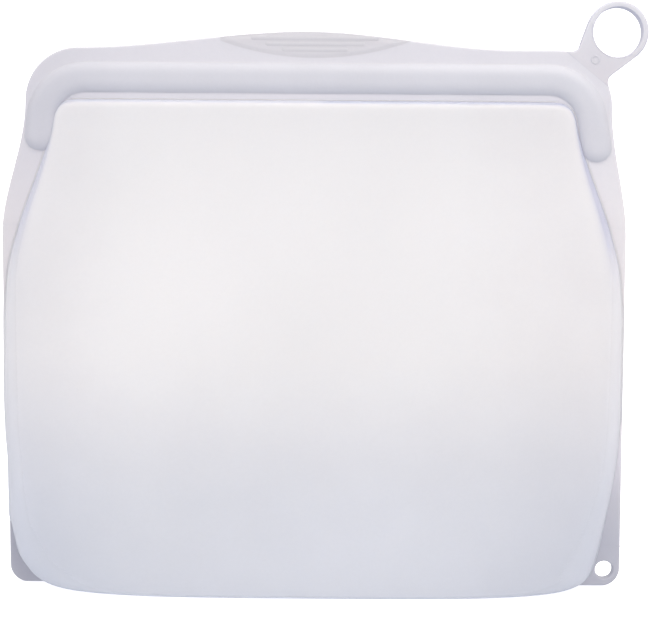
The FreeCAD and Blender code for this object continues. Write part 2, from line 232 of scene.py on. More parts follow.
# ---- meshes ------------------------------------------------------------------------------
def make_mesh(name, points, faces):
    """A smooth mesh object from millimetre points, with its faces turned outward."""
    mesh = bpy.data.meshes.new(name)
    mesh.from_pydata([tuple(c * MM for c in p) for p in points], [], faces)
    mesh.validate()
    bm = bmesh.new()
    bm.from_mesh(mesh)
    bmesh.ops.remove_doubles(bm, verts=bm.verts, dist=0.00001)
    bmesh.ops.dissolve_degenerate(bm, dist=0.000005, edges=bm.edges)
    bmesh.ops.recalc_face_normals(bm, faces=bm.faces)
    bm.to_mesh(mesh)
    bm.free()
    mesh.polygons.foreach_set("use_smooth", [True] * len(mesh.polygons))
    # Painted shade: a share at each point that darkens and cools surfaces turned away from the front,
    # stronger higher up and on the right side.
    painted_steep_shade = mesh.attributes.new("painted_steep_shade", "FLOAT", "POINT")
    steep_shade_amount = []
    for v in mesh.vertices:
        height = smooth((v.co.z / MM - 105.0) / 30.0)
        strength = lerp(0.1, 0.9 if v.co.x > 0 else 0.65, height)
        steep_shade_amount.append(smooth((1.0 - abs(v.normal.y) - 0.03) / 0.22) * strength)
    painted_steep_shade.data.foreach_set("value", steep_shade_amount)
    piece = bpy.data.objects.new(name, mesh)
    bpy.context.scene.collection.objects.link(piece)
    return piece


def sharpen(piece, degrees):
    """Marks creases sharper than the angle, so that flat ends don't shade round."""
    with bpy.context.temp_override(object=piece, active_object=piece, selected_objects=[piece],
                                   selected_editable_objects=[piece]):
        bpy.ops.object.shade_smooth_by_angle(angle=math.radians(degrees))


def loops_to_faces(rows, columns, closed_rows=False):
    """Quads between rows of closed loops, with strip caps on the first and last row."""
    faces = []
    count = rows if closed_rows else rows - 1
    for r in range(count):
        s = (r + 1) % rows
        for c in range(columns):
            d = (c + 1) % columns
            faces.append((r * columns + c, r * columns + d, s * columns + d, s * columns + c))
    if not closed_rows:
        half = columns // 2
        for r in (0, rows - 1):
            base = r * columns
            for c in range(half - 1):
                faces.append((base + c, base + c + 1, base + columns - 2 - c, base + columns - 1 - c))
    return faces


def loft(name, rows, closed_rows=False):
    """A closed solid through rows, each an even number of points that goes out and comes back."""
    columns = len(rows[0])
    points = [p for row in rows for p in row]
    return make_mesh(name, points, loops_to_faces(len(rows), columns, closed_rows))


# ---- walls of the pouch and throat -------------------------------------------------------
ARC_STEPS = 6                               # in the fillet at a wall's foot
ACROSS = spread(-1.0, 1.0, 105)[1:-1]       # places across a wall, close together at its sides
INNER_CLEAR = INNER + 0.15                  # the inside of a wall keeps this far from the seam plane


def ripple(x, z):
    """The slow waviness of a soft wall."""
    wave = math.sin(x / 33.0 + 0.6) * math.sin(z / 24.0 + 1.1) + 0.6 * math.sin(x / 17.0 - z / 29.0 + 2.0)
    return 0.16 * wave * smooth(z / 20) * (1.0 - smooth((z - 140) / 25))


def mirror_x(points):
    """The points on the other side of the middle, in the reverse order."""
    return [(-x, y, z) for x, y, z in reversed(points)]


def wall_row(z, w, d, inner_z, inner_w, inner_d):
    """One level loop of the front wall: its outside from left to right, and back along the inside."""
    power = side_power(z)
    foot, radius = wall_foot(z, d)
    w = wall_width(z, w, d)
    foot_x = w * foot
    end_x = foot_x + radius + 0.45
    outside, inside = [(-end_x, -FACE + SINK, z)], []
    for a in spread(0.0, math.pi / 2, ARC_STEPS + 1):
        outside.append((-foot_x - radius * (1.0 - math.sin(a)), -FACE - radius * (1.0 - math.cos(a)), z))
    left_fillet = outside[:]
    for share in ACROSS:
        side = 1.0 if share > 0 else -1.0
        out = 1.0 - (1.0 - abs(share)) ** DEPTH_POWER
        u = foot * out
        y = d * (1.0 - u ** power) ** (1.0 / DEPTH_POWER) + ripple(side * u * w, z) * (1.0 - u ** 6)
        outside.append((side * u * w, -y, z))
        y_in = inner_d * (1.0 - out ** power) ** (1.0 / DEPTH_POWER)
        inside.append((side * out * inner_w, -max(INNER_CLEAR, y_in), inner_z))
    outside += mirror_x(left_fillet)
    feet = [(x, -INNER_CLEAR, inner_z) for x in spread(-end_x, -inner_w, ARC_STEPS + 2)]
    loop = outside + (feet + inside + mirror_x(feet))[::-1]
    fuller = half_width(z, -1) / half_width(z)
    return [(x * fuller if x < 0 else x, y, level) for x, y, level in loop]


def wall_levels():
    """(z, half width, half depth, and the same for the inside) from the middle of the base upward."""
    levels = []
    for f in spread(0.0, 1.0, 9)[1:-1]:                     # the base
        z = BASE_ARCH * (1.0 - f * f)
        levels.append((z, lerp(FOOT_W - 3.0, FOOT_W, f), lerp(FACE, FOOT_D - FOOT_ROUND, f)))
    for a in spread(0.0, math.pi / 2, 13):                  # round the foot
        z = FOOT_ROUND * (1.0 - math.cos(a))
        levels.append((z, half_width(z), half_depth(z) - FOOT_ROUND * (1.0 - math.sin(a))))

    heights = spread(FOOT_ROUND + 1, 20, 12) + spread(22, HEM_START - 3, 36)
    heights += spread(HEM_START - 1, HEM_END + 3, 24) + spread(152, 167, 9)
    low_z = THROAT_TOP - THROAT_CORNER_Z
    heights += [lerp(low_z, THROAT_TOP - TOP_ROUND, math.sin(a)) for a in spread(0.0, math.pi / 2, 11)[1:]]
    levels += [(z, half_width(z), half_depth(z)) for z in heights]

    for a in spread(0.0, math.pi / 2, 8)[1:]:               # round the throat's top edge
        z = THROAT_TOP - TOP_ROUND * (1.0 - math.sin(a))
        levels.append((z, half_width(z), lerp(FACE + TOP_FILLET, THROAT_TOP_D, math.cos(a))))
    top_w = half_width(THROAT_TOP)
    for a in spread(0.0, math.pi / 2, 6)[1:]:               # the fillet down to the lip
        rise = TOP_FILLET * (1.0 - math.cos(a))
        levels.append((THROAT_TOP + rise, top_w + rise, FACE + TOP_FILLET * (1.0 - math.sin(a))))
    levels.append((THROAT_TOP + 2 * TOP_FILLET, top_w + 2 * TOP_FILLET, FACE - SINK))

    full = []
    for z, w, d in levels:
        inner_z = min(max(z, WALL + 0.3), THROAT_TOP - WALL)
        if z < FOOT_ROUND and d < FOOT_D:
            inner_z = WALL + z
        inner_d = max(min(d, half_depth(inner_z)) - WALL, 0.3)
        full.append((z, w, d, inner_z, min(w, half_width(inner_z)) - WALL, inner_d))
    return full


def mirror(rows):
    """The same rows for the back."""
    return [[(x, -y, z) for x, y, z in row] for row in rows]


def make_walls():
    rows = [wall_row(*level) for level in wall_levels()]
    front = loft("front_wall", rows)
    back = loft("back_wall", mirror(rows))
    return front, back


# ---- press seal path ---------------------------------------------------------------------
def seal_leg(side, short):
    """One side of the seal's middle line: the leg's end and top, where the arc starts, and its turn."""
    end_x, end_z, turn = SEAL_LEG[side]
    turn = math.radians(turn)
    leg_top_z = SEAL_Z - SEAL_R + SEAL_R * math.cos(turn)
    leg_top_x = end_x - (leg_top_z - end_z) * math.cos(turn) / math.sin(turn)
    end = (end_x - short * math.cos(turn), end_z + short * math.sin(turn))
    return end, (leg_top_x, leg_top_z), leg_top_x - SEAL_R * math.sin(turn), turn


def seal_half(side, short):
    """The seal's middle line from the middle of the top to one leg's end."""
    end, leg_top, centre_x, turn = seal_leg(side, short)
    half = [(x, SEAL_Z) for x in spread(0.0, centre_x, 34)]
    for k in range(1, 17):
        a = turn * k / 16
        half.append((centre_x + SEAL_R * math.sin(a), SEAL_Z - SEAL_R + SEAL_R * math.cos(a)))
    for k in range(1, 9):
        half.append((lerp(leg_top[0], end[0], k / 8), lerp(leg_top[1], end[1], k / 8)))
    return [(side * x, z) for x, z in half]


def seal_path(short=0.0):
    return seal_half(-1, short)[:0:-1] + seal_half(1, short)


SEAL = np.array(seal_path())


def seal_distance(x, z):
    """Distance in the seam plane to the seal's middle line."""
    a, b = SEAL[:-1], SEAL[1:]
    d = b - a
    t = np.clip(((np.array((x, z)) - a) * d).sum(1) / (d * d).sum(1), 0.0, 1.0)
    gap = a + d * t[:, None] - np.array((x, z))
    return float(np.sqrt((gap * gap).sum(1)).min())


def round_bar(name, path, half, profile, foot, lateral_steps=14, turn_steps=7):
    """A bar along a path in the seam plane, with round ends. profile(distance) is its height over
    foot, which is a function of the share of the half width."""
    points = np.array(path, float)
    step = np.gradient(points, axis=0)
    step /= np.linalg.norm(step, axis=1)[:, None]
    stations = []
    for k in range(turn_steps, 0, -1):
        a = math.radians(90.0 * k / turn_steps) * 0.995
        stations.append((points[0] - step[0] * half * math.sin(a), step[0], half * math.sin(a)))
    stations += [(p, s, 0.0) for p, s in zip(points, step)]
    for k in range(1, turn_steps + 1):
        a = math.radians(90.0 * k / turn_steps) * 0.995
        stations.append((points[-1] + step[-1] * half * math.sin(a), step[-1], half * math.sin(a)))
    rows = []
    for centre, along, past in stations:
        across = np.array((along[1], -along[0]))
        reach = math.sqrt(half * half - past * past)
        top, under = [], []
        for k in range(-lateral_steps, lateral_steps + 1):
            u = reach * math.sin(math.radians(90.0 * k / lateral_steps))
            d = min(1.0, math.hypot(past, u) / half)
            x, z = centre + across * u
            top.append((x, profile(d), z))
            under.append((x, foot(d), z))
        rows.append(top + under[::-1])
    return loft(name, rows)


def bead_rise(share):
    """Height of the bead's soft round outside over the lip's face, by the share of its half width."""
    return BEAD_HEIGHT * max(0.0, 1.0 - share ** 3.2) ** 1.1


def make_seal():
    def top(share):
        return -FACE - bead_rise(share) + 0.12 * smooth((share - 0.92) / 0.08)

    def under(share):
        return -1.2 - 0.9 * bead_rise(share)

    def rib_top(share):
        return INNER - RIB_HEIGHT * math.sqrt(max(0.0, 1.0 - share ** 2.4))

    def rib_foot(share):
        return INNER + 0.4
    channel = round_bar("seal_channel", seal_path(), BEAD_HALF, top, under)
    rib = round_bar("seal_rib", seal_path(RIB_SHORT), RIB_HALF, rib_top, rib_foot, 9, 5)
    return channel, rib


# ---- lips --------------------------------------------------------------------------------
RING_MIDDLE = Vector((RING.x, RING.z))
NECK_AXIS = (RING_MIDDLE - Vector((EDGE_TOP[1] - CORNER_R, LIP_TOP - CORNER_R))).normalized()
NECK_CUT = 17.0                     # the lip is joined to the neck this far from the ring's middle
NECK_REACH = RING_R - 1.7           # the neck runs into the ring this far from its middle
NECK_FILLET = 2.4                   # length of the fillets where the neck leaves the lip
RING_FRONT = -FACE - 0.05           # the ring's front is level with the lip's, and its thickness is behind


def corner_angles():
    """Middle of the lip's rounded corner, and the angles at which the straight join to the neck cuts it."""
    centre = Vector((EDGE_TOP[1] - CORNER_R, LIP_TOP - CORNER_R))
    off = (RING_MIDDLE - centre).length - NECK_CUT
    middle = math.atan2(NECK_AXIS.y, NECK_AXIS.x)
    half_angle = math.acos(off / CORNER_R)
    return centre, middle - half_angle, middle + half_angle


def on_circle(centre, radius, angle):
    return Vector((centre[0] + radius * math.cos(angle), centre[1] + radius * math.sin(angle)))


def lip_outline(side, corner_r, neck):
    """One half of a lip: outer point, inner point and the outer edge's rounding, from low to the middle."""
    pairs = []
    low_z, even_z, top_z = HEM_START - 0.6, HEM_END + 3, LIP_TOP - corner_r
    inner_top_z = THROAT_TOP - TOP_SINK
    inner_low_z = min(THROAT_TOP - THROAT_CORNER_Z - 1.0, top_z)

    # the side, level by level up to the fold's end and then fanned out to the corner
    for z in spread(low_z, even_z, 27)[:-1] + spread(even_z, top_z, 22):
        inner_z = z if z < even_z else lerp(even_z, inner_low_z, (z - even_z) / (top_z - even_z))
        pairs.append(((edge_x(z, side), z), (wall_edge(inner_z) - LIP_SINK, inner_z), EDGE_ROUND))

    # the corner, cut straight where the neck joins
    centre = (EDGE_TOP[side] - corner_r, top_z)
    _, cut_low, cut_high = corner_angles()
    before = 5
    angles = spread(0.0, math.pi / 2, 31)[1:]
    if neck:
        angles = spread(0, cut_low, before + 1)[1:] + spread(cut_low, cut_high, 22)
        angles += spread(cut_high, math.pi / 2, 4)[1:]
    cut_from, cut_to = on_circle(centre, corner_r, cut_low), on_circle(centre, corner_r, cut_high)
    for k, a in enumerate(angles):
        inner_z = lerp(inner_low_z, inner_top_z, math.sin(a))
        inner = (wall_edge(inner_z) - LIP_SINK - 2.0 * a / (math.pi / 2), inner_z)
        outer = on_circle(centre, corner_r, a)
        rounding = EDGE_ROUND
        if neck and k >= before and a <= cut_high:
            t = (a - cut_low) / (cut_high - cut_low)
            outer = cut_from.lerp(cut_to, t)
            rounding = 0.0 if 0.0 < t < 1.0 else EDGE_ROUND
        pairs.append((outer, inner, rounding))

    # the top, to the middle
    last_inner_x = pairs[-1][1][0]
    for share in spread(0.0, 1.0, 61)[1:]:
        x = lerp(centre[0], 0.0, share)
        pairs.append(((x, lip_top(side * x)), (lerp(last_inner_x, 0.0, share), inner_top_z), EDGE_ROUND))
    return [((side * o[0], o[1]), (side * i[0], i[1]), r) for o, i, r in pairs]


def lip_loop(outer, inner, rounding, grooved):
    """Closed loop across the lip: out along its face, round the edge, and back along its inside."""
    ox, oz = outer
    ix, iz = inner
    length = math.hypot(ox - ix, oz - iz)
    half = (FACE - INNER) / 2
    middle = (FACE + INNER) / 2
    face, inside = [], []
    for s in spread(0.0, length - rounding, 45):
        x, z = lerp(ix, ox, s / length), lerp(iz, oz, s / length)
        d = seal_distance(x, z) if grooved else 99.0
        bump = max(0.0, 0.85 * bead_rise(min(1.0, d / BEAD_HALF)) - 0.05)
        groove = GROOVE_DEPTH * math.sqrt(max(0.0, 1.0 - (d / GROOVE_HALF) ** 2))
        face.append((x, -FACE - bump, z))
        inside.append((x, -INNER - groove, z))
    for k in range(1, 6):
        a = math.radians(90.0 * k / 5)
        s = length - rounding + rounding * math.sin(a)
        x, z = lerp(ix, ox, s / length), lerp(iz, oz, s / length)
        h = half - rounding + rounding * math.cos(a)
        face.append((x, -middle - h, z))
        inside.append((x, -middle + h, z))
    return face + inside[::-1]


def make_lip(name, right_corner, front):
    """A lip from its right side, over the top, to its left side. Only the front one carries the neck."""
    outline = lip_outline(1, right_corner, front) + lip_outline(-1, LEFT_CORNER_R, False)[-2::-1]
    rows = [lip_loop(outer, inner, rounding, front) for outer, inner, rounding in outline]
    return loft(name, rows if front else mirror(rows))


# ---- ring and neck -----------------------------------------------------------------------
def ring_tangent(point, side):
    """Angle on the ring's outside where a line from point touches it."""
    d = point - RING_MIDDLE
    return math.atan2(d.y, d.x) + side * math.acos(RING_R / d.length)


def bezier(a, b, c, t):
    return a * (1 - t) ** 2 + b * 2 * t * (1 - t) + c * t * t


def neck_faces(rho):
    """Front and back of the neck by its distance from the ring's middle: the lip's, then the ring's."""
    share = smooth((NECK_CUT - rho) / (NECK_CUT - RING_R - 0.4))
    return lerp(-FACE, RING_FRONT - 0.01, share), lerp(-INNER, RING_FRONT + 2 * RING_HALF + 0.01, share)


def neck_side(start, heading, corner, angle):
    """A side of the neck: a soft fillet out of the lip's edge, then straight to the ring."""
    touch = on_circle(RING_MIDDLE, RING_R, angle)
    knee = start + heading * (corner - start).length
    turn = knee + (touch - knee).normalized() * NECK_FILLET
    sunk = on_circle(RING_MIDDLE, NECK_REACH, angle)
    side = [bezier(start, knee, turn, k / 9) for k in range(10)]
    side += [turn.lerp(touch, k / 12) for k in range(1, 13)]
    side += [touch.lerp(sunk, k / 2) for k in range(1, 3)]
    return side


def make_neck():
    """The neck, as a patch between its two sides, the lip's straight cut and an arc inside the ring."""
    centre, low_angle, high_angle = corner_angles()
    p_low, p_high = on_circle(centre, CORNER_R, low_angle), on_circle(centre, CORNER_R, high_angle)
    left_angle = ring_tangent(NECK_LEFT, -1) + 2 * math.pi
    right_angle = ring_tangent(NECK_RIGHT, 1) + 2 * math.pi
    left = neck_side(p_high, Vector((math.sin(high_angle), -math.cos(high_angle))), NECK_LEFT, left_angle)
    right = neck_side(p_low, Vector((-math.sin(low_angle), math.cos(low_angle))), NECK_RIGHT, right_angle)
    lengths = [0.0]
    for a, b in zip(left, left[1:]):
        lengths.append(lengths[-1] + (b - a).length)
    rims = [EDGE_ROUND * share for share in (0.0, 0.1, 1 / 3, 2 / 3, 1.0)]
    rows = []
    for k, length in enumerate(lengths):
        v = length / lengths[-1]
        width = (left[k] - right[k]).length
        us = [rim / width for rim in rims] + spread(EDGE_ROUND / width, 1.0 - EDGE_ROUND / width, 30)[1:-1]
        us += [1.0 - rim / width for rim in reversed(rims)]
        front, back = [], []
        for u in us:
            arc = on_circle(RING_MIDDLE, NECK_REACH, lerp(left_angle, right_angle, u))
            sides = left[k].lerp(right[k], u)
            ends = p_high.lerp(p_low, u).lerp(arc, v)
            corners = left[0].lerp(right[0], u).lerp(left[-1].lerp(right[-1], u), v)
            p = sides + ends - corners
            face, behind = neck_faces((p - RING_MIDDLE).length)
            rim = min(u, 1.0 - u) * width
            drop = EDGE_ROUND * (1.0 - quarter(rim / EDGE_ROUND))
            front.append((p.x, face + drop, p.y))
            back.append((p.x, behind - drop, p.y))
        rows.append(front + back[::-1])
    return loft("ring_neck", rows)


def make_ring():
    """Flat-faced ring with soft edges, revolved about its own middle."""
    profile = []
    outer, bore = RING_R - RING_ROUND, RING_BORE + RING_EASE
    for radius, side, rounding, start in ((outer, 1, RING_ROUND, 0), (bore, 1, RING_EASE, 90),
                                          (bore, -1, RING_EASE, 180), (outer, -1, RING_ROUND, 270)):
        for k in range(6):
            a = math.radians(start + 90.0 * k / 5)
            across = side * (RING_HALF - rounding) + rounding * math.sin(a)
            profile.append((radius + rounding * math.cos(a), RING_FRONT + RING_HALF + across))
    rows = []
    count = 144
    for k in range(count):
        a = 2 * math.pi * k / count
        rows.append([(RING.x + rad * math.cos(a), y, RING.z + rad * math.sin(a)) for rad, y in profile])
    return loft("hang_ring", rows, closed_rows=True)


def make_mark():
    """The small round mould mark on the neck, close to the ring: a shallow raised ring."""
    at = RING_MIDDLE - NECK_AXIS * MARK_REACH
    rows = []
    for k in range(40):
        a = 2 * math.pi * k / 40
        loop = []
        for j in range(12):
            b = 2 * math.pi * j / 12
            spot = on_circle(at, MARK_R + MARK_BEAD * math.cos(b), a)
            y = neck_faces((spot - RING_MIDDLE).length)[0] + 0.03 + 0.15 * math.sin(b)
            loop.append((spot.x, y, spot.y))
        rows.append(loop)
    return loft("mould_mark", rows, closed_rows=True)


# ---- bonded edges and tab ----------------------------------------------------------------
def seam_loop(z, inner, outer, half, rounding):
    """Closed loop across a bonded edge, with the fine parting line round its outside."""
    front = [(lerp(inner, outer - rounding, k / 8), -half) for k in range(9)]
    for k in range(1, 8):
        a = math.radians(90.0 * k / 8)
        front.append((outer - rounding + rounding * math.sin(a), -half + rounding * (1.0 - math.cos(a))))
    front += [(outer, -0.32), (outer, -0.14), (outer - 0.12, -0.02)]
    back = [(x, -y) for x, y in reversed(front)]
    return [(x, y, z) for x, y in front + back]


def make_side(name, side, z0, z1):
    """A bonded edge between two heights. One that starts at the floor is eased round its foot."""
    rows = []
    heights = spread(z0, z1, 60)
    at_floor = z0 < 1.0
    if at_floor:
        heights = sorted(set(heights + [0.0, 0.1, 0.3, 0.6, 0.9, 1.3, 1.8, 2.4, 3.2, 4.2, 5.3, 6.5]))
    for z in heights:
        half = FACE - (SEAM_EASE * (1.0 - quarter(z / SEAM_ROUND)) if at_floor else 0.0)
        half -= 0.04 * smooth((z - HEM_START + 2.0) / 1.2)     # just clear of the lip it runs up under
        rounding = SEAM_ROUND if half > 1.5 else 0.5
        loop = seam_loop(z, wall_edge(z, side) - SEAM_SINK, edge_x(z, side), half, rounding)
        rows.append([(side * x, y, z) for x, y, z in loop])
    return loft(name, rows)


def tab_reach(angle):
    """Distance from the hole's middle to the tab's outline, and whether that side is free."""
    dx, dz = math.cos(angle), math.sin(angle)

    def inside(r):
        x, z = TAB_X + dx * r, TAB_Z + dz * r
        return 0.0 <= z <= TAB_TOP and half_width(max(z, 0.0)) - TAB_SINK <= x <= edge_x(max(z, 0.0), 1)
    low_r, high_r = TAB_R, 30.0
    for _ in range(40):
        mid = (low_r + high_r) / 2
        if inside(mid):
            low_r = mid
        else:
            high_r = mid
    x, z = TAB_X + dx * low_r, TAB_Z + dz * low_r
    free = (abs(x - edge_x(max(z, 0.0), 1)) < 0.05 or z < 0.05) and z < TAB_TOP - 0.05
    return low_r, free


def make_tab():
    """The tab, as loops across it that turn about its hole."""
    rows = []
    count = 180
    for k in range(count):
        a = 2 * math.pi * k / count
        reach, free = tab_reach(a)
        loop = []
        shares = [0.0, 0.08, 0.25, 0.5, 0.75, 1.0]
        radii = [TAB_R + HOLE_EASE * s for s in shares]
        radii += spread(TAB_R + HOLE_EASE, reach - SEAM_ROUND, 9)[1:-1]
        radii += [reach - SEAM_ROUND * s for s in reversed(shares)]
        for r in radii:
            h = FACE - HOLE_EASE + HOLE_EASE * quarter((r - TAB_R) / HOLE_EASE)
            if free:
                h -= SEAM_ROUND - SEAM_ROUND * quarter((reach - r) / SEAM_ROUND)
            loop.append((TAB_X + r * math.cos(a), -h, TAB_Z + r * math.sin(a)))
        loop += [(x, -y, z) for x, y, z in reversed(loop)]
        rows.append(loop)
    return loft("hanging_tab", rows, closed_rows=True)


def make_bottom_seam():
    """The seam under the base: a low rounded weld along the seam plane, up to the rounded corners."""
    path = [(-half_width(z, -1), z) for z in spread(3.6, 0.4, 8)]
    path += [(x, WELD_RISE) for x in spread(-FOOT_W + 1.5, FOOT_W - 1.5, 60)]
    path += [(half_width(z), z) for z in spread(0.4, 3.6, 8)]
    points = np.array(path)
    step = np.gradient(points, axis=0)
    step /= np.linalg.norm(step, axis=1)[:, None]
    rows = []
    for (x, z), (tx, tz) in zip(points, step):
        out = (tz, -tx)
        loop = []
        for k in range(17):
            a = math.radians(180.0 * k / 16)
            rise = WELD_RISE * math.sin(a)
            loop.append((x + out[0] * rise, -FACE * math.cos(a), z + out[1] * rise))
        loop += [(x - out[0] * WELD_SINK, y, z - out[1] * WELD_SINK)
                 for y in spread(0.9 * FACE, -0.9 * FACE, 17)]
        rows.append(loop)
    return loft("bottom_seam", rows)


# ---- grip --------------------------------------------------------------------------------
def make_pad():
    """Low lens-shaped pad under the crown of the front lip."""
    drop = PAD_TIP_Z - PAD_LOW_Z
    radius = (PAD_X ** 2 + drop ** 2) / (2 * drop)
    rows = []
    for k in range(61):
        a = math.radians(-90.0 + 180.0 * k / 60)
        x = (PAD_X - 0.4) * math.sin(a)
        low_z = PAD_LOW_Z + radius - math.sqrt(radius ** 2 - x * x)
        high_z = lip_top(x) - 0.35
        high_z = max(high_z, low_z + 0.05)
        face, under = [], []
        for j in range(25):
            t = (1.0 - math.cos(math.pi * j / 24)) / 2
            z = lerp(low_z, high_z, t)
            rise = PAD_RAISE * smooth((z - low_z) / 1.6) * smooth((high_z - z) / 1.8)
            face.append((x, -FACE - rise, z))
            under.append((x, -FACE + 0.3, z))
        rows.append(face + under[::-1])
    return loft("thumb_pad", rows)


def make_ridges():
    """Three low ridges across the pad."""
    def top(share):
        return -FACE - PAD_RAISE - 0.09 * (1.0 - share ** 2)

    def under(share):
        return -FACE - PAD_RAISE + 0.2
    return [round_bar(name, [(x, z) for x in spread(-half, half, 40)], 0.7, top, under, 5, 4)
            for name, (z, half) in RIDGES.items()]


# ---- materials ---------------------------------------------------------------------------
class Nodes:
    """Short helpers for one material's node tree."""

    def __init__(self, name):
        self.material = bpy.data.materials.new(name)
        self.material.use_nodes = True
        self.tree = self.material.node_tree
        self.shader = self.tree.nodes["Principled BSDF"]

    def add(self, kind, **values):
        node = self.tree.nodes.new(kind)
        for key, value in values.items():
            if key in node.inputs:
                node.inputs[key].default_value = value
            else:
                setattr(node, key, value)
        return node

    def link(self, a, b):
        self.tree.links.new(a, b)

    def noise(self, source, scale, detail=2.0):
        node = self.add("ShaderNodeTexNoise", Scale=scale, Detail=detail)
        self.link(source, node.inputs["Vector"])
        return node.outputs["Fac"]

    def ramp(self, source, stops):
        node = self.add("ShaderNodeValToRGB")
        elements = node.color_ramp.elements
        while len(elements) < len(stops):
            elements.new(0.5)
        for element, (place, colour) in zip(elements, stops):
            element.position = place
            element.color = (*colour, 1.0)
        self.link(source, node.inputs["Fac"])
        return node.outputs["Color"]

    def mix(self, kind, factor, a, b):
        node = self.add("ShaderNodeMix", data_type="RGBA", blend_type=kind)
        for socket, value in ((node.inputs[0], factor), (node.inputs[6], a), (node.inputs[7], b)):
            if isinstance(value, bpy.types.NodeSocket):
                self.link(value, socket)
            else:
                socket.default_value = value if not isinstance(value, tuple) else (*value, 1.0)
        return node.outputs[2]


def srgb(r, g, b):
    def one(c):
        c /= 255.0
        return c / 12.92 if c <= 0.04045 else ((c + 0.055) / 1.055) ** 2.4
    return one(r), one(g), one(b)


def silicone(name, stops, mottle=0.03, rough=0.44, scatter=0.5, scale=0.004, clear=0.0, painted_steep_shade=None,
             left=None, right=None):
    """Frosted translucent silicone. stops are (height, colour), a painted shade by height; the tint for
    surfaces that turn away from the front is a painted shade for light that has more silicone to cross
    there, and left and right are painted shade on the two sides."""
    n = Nodes(name)
    place = n.add("ShaderNodeTexCoord").outputs["Object"]
    axes = n.add("ShaderNodeSeparateXYZ")
    n.link(place, axes.inputs[0])
    rise = n.add("ShaderNodeMapRange")
    rise.inputs["From Max"].default_value = CROWN_TOP * MM
    n.link(axes.outputs["Z"], rise.inputs["Value"])
    # Painted shade: the colour changes by height, as light falls from above.
    colour = n.ramp(rise.outputs["Result"], [(z / CROWN_TOP, shade) for z, shade in stops])
    # Painted shade: the sides are darkened towards their outer edges.
    for side_shade, start, end in ((left, -50.0, -112.0), (right, 30.0, 112.0)):
        if side_shade:
            across = n.add("ShaderNodeMapRange", interpolation_type="SMOOTHSTEP")
            across.inputs["From Min"].default_value = start * MM
            across.inputs["From Max"].default_value = end * MM
            n.link(axes.outputs["X"], across.inputs["Value"])
            colour = n.mix("MULTIPLY", across.outputs["Result"], colour, side_shade)
    # Painted shade on the surfaces turned away from the front.
    if painted_steep_shade:
        steep_shade_amount = n.add("ShaderNodeAttribute", attribute_name="painted_steep_shade").outputs["Fac"]
        colour = n.mix("MULTIPLY", steep_shade_amount, colour, painted_steep_shade)
    veil = n.ramp(n.noise(place, 28.0, 3.0), [(0.35, (1.0 - mottle,) * 3), (0.65, (1.0,) * 3)])
    colour = n.mix("MULTIPLY", 1.0, colour, veil)
    specks = n.ramp(n.noise(place, 900.0, 4.0), [(0.3, (0.985, 0.985, 0.988)), (0.7, (1.0, 1.0, 1.0))])
    colour = n.mix("MULTIPLY", 1.0, colour, specks)
    n.link(colour, n.shader.inputs["Base Color"])
    polish = n.add("ShaderNodeMapRange")
    polish.inputs["To Min"].default_value = rough - 0.06
    polish.inputs["To Max"].default_value = rough + 0.08
    n.link(n.noise(place, 90.0, 3.0), polish.inputs["Value"])
    n.link(polish.outputs["Result"], n.shader.inputs["Roughness"])
    bump = n.add("ShaderNodeBump", Strength=0.05)
    bump.inputs["Distance"].default_value = 0.0004
    n.link(n.noise(place, 1400.0, 3.0), bump.inputs["Height"])
    n.link(bump.outputs["Normal"], n.shader.inputs["Normal"])
    values = n.shader.inputs
    values["IOR"].default_value = 1.41
    values["Specular IOR Level"].default_value = 0.45
    values["Subsurface Weight"].default_value = scatter
    values["Subsurface Radius"].default_value = (1.0, 0.95, 0.9)
    values["Subsurface Scale"].default_value = scale
    values["Transmission Weight"].default_value = clear
    return n.material


def paint(piece, material):
    piece.data.materials.clear()
    piece.data.materials.append(material)


# ---- studio ------------------------------------------------------------------------------
def add_light(name, location, target, size, power, colour):
    data = bpy.data.lights.new(name, "AREA")
    data.shape = "DISK"
    data.size = size
    data.energy = power
    data.color = colour
    light = bpy.data.objects.new(name, data)
    light.location = location
    light.rotation_euler = (Vector(target) - Vector(location)).to_track_quat("-Z", "Y").to_euler()
    bpy.context.scene.collection.objects.link(light)


def make_sweep():
    """Pale studio sweep: a floor that curves up into the backdrop."""
    radius, depth, width, height = 0.5, 1.2, 6.0, 4.0
    profile = [(-4.0, 0.0), (depth - radius, 0.0)]
    for k in range(1, 13):
        a = math.radians(90.0 * k / 12)
        profile.append((depth - radius + radius * math.sin(a), radius * (1.0 - math.cos(a))))
    profile.append((depth, height))
    points = []
    for y, z in profile:
        points += [(-width, y, z - 0.0002), (width, y, z - 0.0002)]
    faces = [(2 * k, 2 * k + 1, 2 * k + 3, 2 * k + 2) for k in range(len(profile) - 1)]
    mesh = bpy.data.meshes.new("studio_sweep")
    mesh.from_pydata(points, [], faces)
    mesh.polygons.foreach_set("use_smooth", [True] * len(mesh.polygons))
    sweep = bpy.data.objects.new("studio_sweep", mesh)
    bpy.context.scene.collection.objects.link(sweep)
    n = Nodes("studio_paper")
    place = n.add("ShaderNodeTexCoord").outputs["Object"]
    grain = n.ramp(n.noise(place, 60.0, 3.0), [(0.3, (0.93, 0.93, 0.93)), (0.7, (0.95, 0.95, 0.95))])
    n.link(grain, n.shader.inputs["Base Color"])
    n.shader.inputs["Roughness"].default_value = 0.9
    n.shader.inputs["Emission Color"].default_value = (1.0, 1.0, 1.0, 1.0)
    n.shader.inputs["Emission Strength"].default_value = 0.6
    mesh.materials.append(n.material)
    sweep.visible_diffuse = False
    sweep.visible_glossy = False


